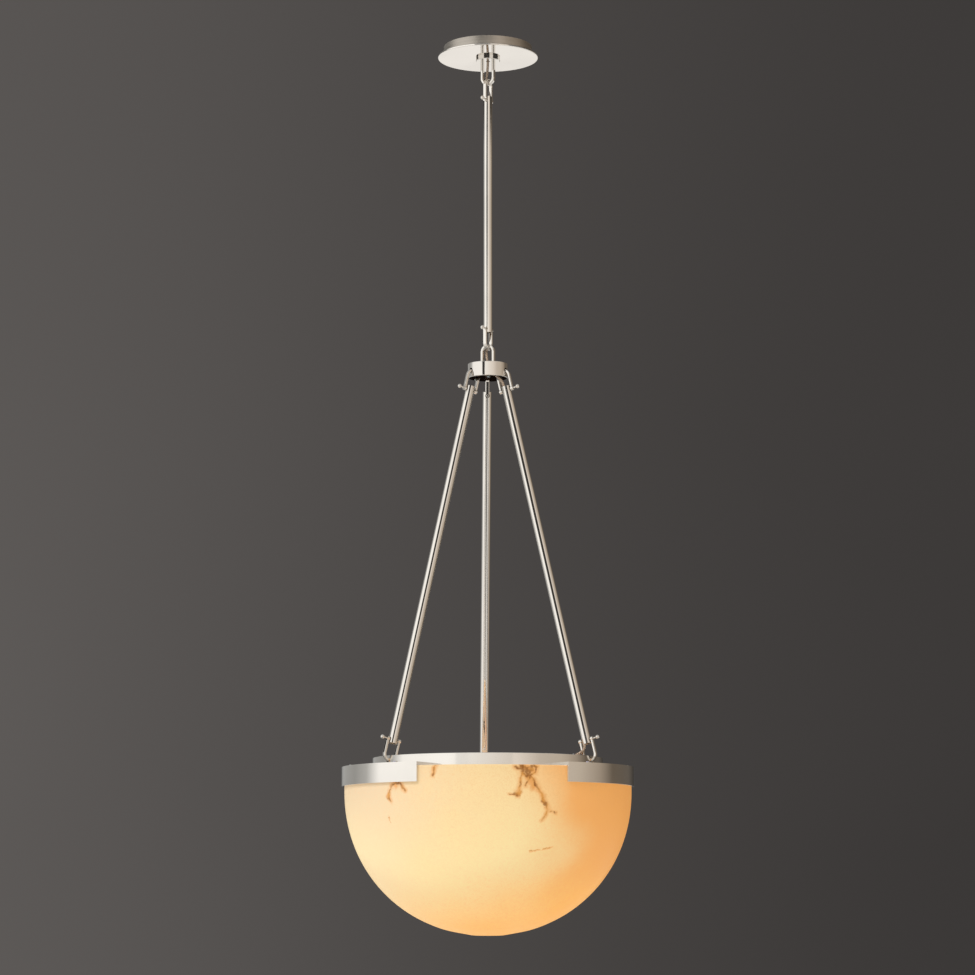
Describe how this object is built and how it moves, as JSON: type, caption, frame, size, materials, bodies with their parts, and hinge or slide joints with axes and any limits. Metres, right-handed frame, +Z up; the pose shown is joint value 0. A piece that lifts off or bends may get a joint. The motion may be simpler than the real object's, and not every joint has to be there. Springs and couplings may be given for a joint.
{
  "type": "bowl pendant light",
  "caption": "Pendant light: a translucent stone bowl hung by a ring on tilted rods, a hub and a stem from a round ceiling canopy.",
  "frame": {"origin": "centre of the crossbar on the ceiling plane, at the middle of its slot pattern", "axes": "+Z up out of the ceiling, the pendant hangs down along -Z, -Y faces the viewer of the picture"},
  "size_m": [0.4572, 0.4528, 1.4346],
  "materials": {
    "satin_nickel": "satin nickel plate over brass",
    "polished_nickel": "polished warm nickel plate",
    "alabaster": "polished translucent alabaster with rust veins",
    "galvanised": "zinc plated steel",
    "brass_plain": "plain turned brass",
    "clear_pvc": "clear amber cable jacket",
    "nylon": "black moulded nylon",
    "silicone": "clear silicone strip",
    "porcelain": "white glazed porcelain",
    "bulb_glass": "frosted warm white glass, lit",
    "connector": "orange moulded plastic"
  },
  "bodies": {
    "canopy": {"crossbar": "galvanised", "threaded_nipple": "galvanised", "lock_nut": "galvanised", "canopy_drum": "satin_nickel", "canopy_plate": "polished_nickel", "collar": "polished_nickel", "canopy_loop": "polished_nickel", "supply_cores": "nylon", "wire_connectors": "connector", "cable_in_canopy": "clear_pvc", "cable_at_canopy_loop": "clear_pvc"},
    "stem_top_shackle": {"stem_top_shackle": "polished_nickel", "stem_top_pin": "polished_nickel", "cable_at_stem_top": "clear_pvc"},
    "stem": {"stem": "polished_nickel", "cable_in_stem": "clear_pvc", "cable_at_stem_bottom": "clear_pvc"},
    "stem_bottom_shackle": {"stem_bottom_shackle": "polished_nickel", "stem_bottom_pin": "polished_nickel", "cable_at_hub_loop": "clear_pvc"},
    "hub": {"hub_loop": "polished_nickel", "hub_shell": "polished_nickel", "hub_base": "satin_nickel", "hub_base_screws": "galvanised", "hub_grommet": "nylon", "rod_head_shackles": "polished_nickel", "rod_head_pins": "polished_nickel", "cable_in_hub": "clear_pvc", "cable_at_rod_top": "clear_pvc"},
    "rod_left": {"rod_left": "polished_nickel"},
    "rod_right": {"rod_right": "polished_nickel", "cable_in_rod": "clear_pvc", "cable_at_rod_foot": "clear_pvc"},
    "rod_back": {"rod_back": "polished_nickel"},
    "foot_left": {"rod_foot_shackle_left": "polished_nickel", "rod_foot_pin_left": "polished_nickel"},
    "foot_right": {"rod_foot_shackle_right": "polished_nickel", "rod_foot_pin_right": "polished_nickel"},
    "foot_back": {"rod_foot_shackle_back": "polished_nickel", "rod_foot_pin_back": "polished_nickel"},
    "bowl": {"ring": "polished_nickel", "bracket_left": "polished_nickel", "bracket_right": "polished_nickel", "bracket_back": "polished_nickel", "ring_screws": "galvanised", "rim_screws": "galvanised", "rim_inserts": "brass_plain", "rim_pads": "silicone", "alabaster_bowl": "alabaster", "lamp_spider": "satin_nickel", "spider_screws": "galvanised", "lamp_nipples": "galvanised", "lamp_nuts": "galvanised", "lampholders": "porcelain", "bulb_caps": "brass_plain", "bulbs": "bulb_glass", "terminal_block": "porcelain", "lamp_leads": "nylon", "cable_in_bowl": "clear_pvc", "cable_clip": "nylon"}
  },
  "joints": [
    {"name": "canopy_link", "type": "hinge", "parent": "canopy", "child": "stem_top_shackle", "pos_m": [0, 0, -0.06075], "axis": [0.8746, -0.4848, 0], "range_deg": [-20, 20], "deforming": ["cable_at_canopy_loop"]},
    {"name": "stem_top_hinge", "type": "hinge", "parent": "stem_top_shackle", "child": "stem", "pos_m": [0, 0, -0.0877], "axis": [0.4848, 0.8746, 0], "range_deg": [-30, 30], "deforming": ["cable_at_stem_top"]},
    {"name": "stem_bottom_hinge", "type": "hinge", "parent": "stem", "child": "stem_bottom_shackle", "pos_m": [0, 0, -0.4627], "axis": [0.4848, 0.8746, 0], "range_deg": [-20, 20], "deforming": ["cable_at_stem_bottom"]},
    {"name": "hub_link", "type": "hinge", "parent": "stem_bottom_shackle", "child": "hub", "pos_m": [0, 0, -0.48965], "axis": [0.8746, -0.4848, 0], "range_deg": [-20, 20], "deforming": ["cable_at_hub_loop"]},
    {"name": "bowl_turn", "type": "hinge", "parent": "hub", "child": "bowl", "pos_m": [0, 0, -1.146], "axis": [0, 0, 1], "range_deg": [-8, 8]},
    {"name": "rod_left_swing", "type": "hinge", "parent": "hub", "child": "rod_left", "pos_m": [-0.02918, -0.01685, -0.56374], "axis": [-0.8407, -0.4854, 0.24], "range_deg": [-3, 3]},
    {"name": "foot_left_swing", "type": "hinge", "parent": "rod_left", "child": "foot_left", "pos_m": [-0.1487, -0.08585, -1.12196], "axis": [-0.8407, -0.4854, 0.24], "range_deg": [-3, 3]},
    {"name": "rod_right_swing", "type": "hinge", "parent": "hub", "child": "rod_right", "pos_m": [0.02918, -0.01685, -0.56374], "axis": [0.8407, -0.4854, 0.24], "range_deg": [-3, 3], "deforming": ["cable_at_rod_top"]},
    {"name": "foot_right_swing", "type": "hinge", "parent": "rod_right", "child": "foot_right", "pos_m": [0.1487, -0.08585, -1.12196], "axis": [0.8407, -0.4854, 0.24], "range_deg": [-3, 3], "deforming": ["cable_at_rod_foot"]},
    {"name": "rod_back_swing", "type": "hinge", "parent": "hub", "child": "rod_back", "pos_m": [0, 0.0337, -0.56374], "axis": [0, 0.9708, 0.24], "range_deg": [-3, 3]},
    {"name": "foot_back_swing", "type": "hinge", "parent": "rod_back", "child": "foot_back", "pos_m": [0, 0.1717, -1.12196], "axis": [0, 0.9708, 0.24], "range_deg": [-3, 3]}
  ],
  "couplings": [
    {"joint": "rod_left_swing", "follows": "bowl_turn", "ratio": 0.3102},
    {"joint": "foot_left_swing", "follows": "bowl_turn", "ratio": -0.3102},
    {"joint": "rod_right_swing", "follows": "bowl_turn", "ratio": 0.3102},
    {"joint": "foot_right_swing", "follows": "bowl_turn", "ratio": -0.3102},
    {"joint": "rod_back_swing", "follows": "bowl_turn", "ratio": 0.3102},
    {"joint": "foot_back_swing", "follows": "bowl_turn", "ratio": -0.3102}
  ]
}
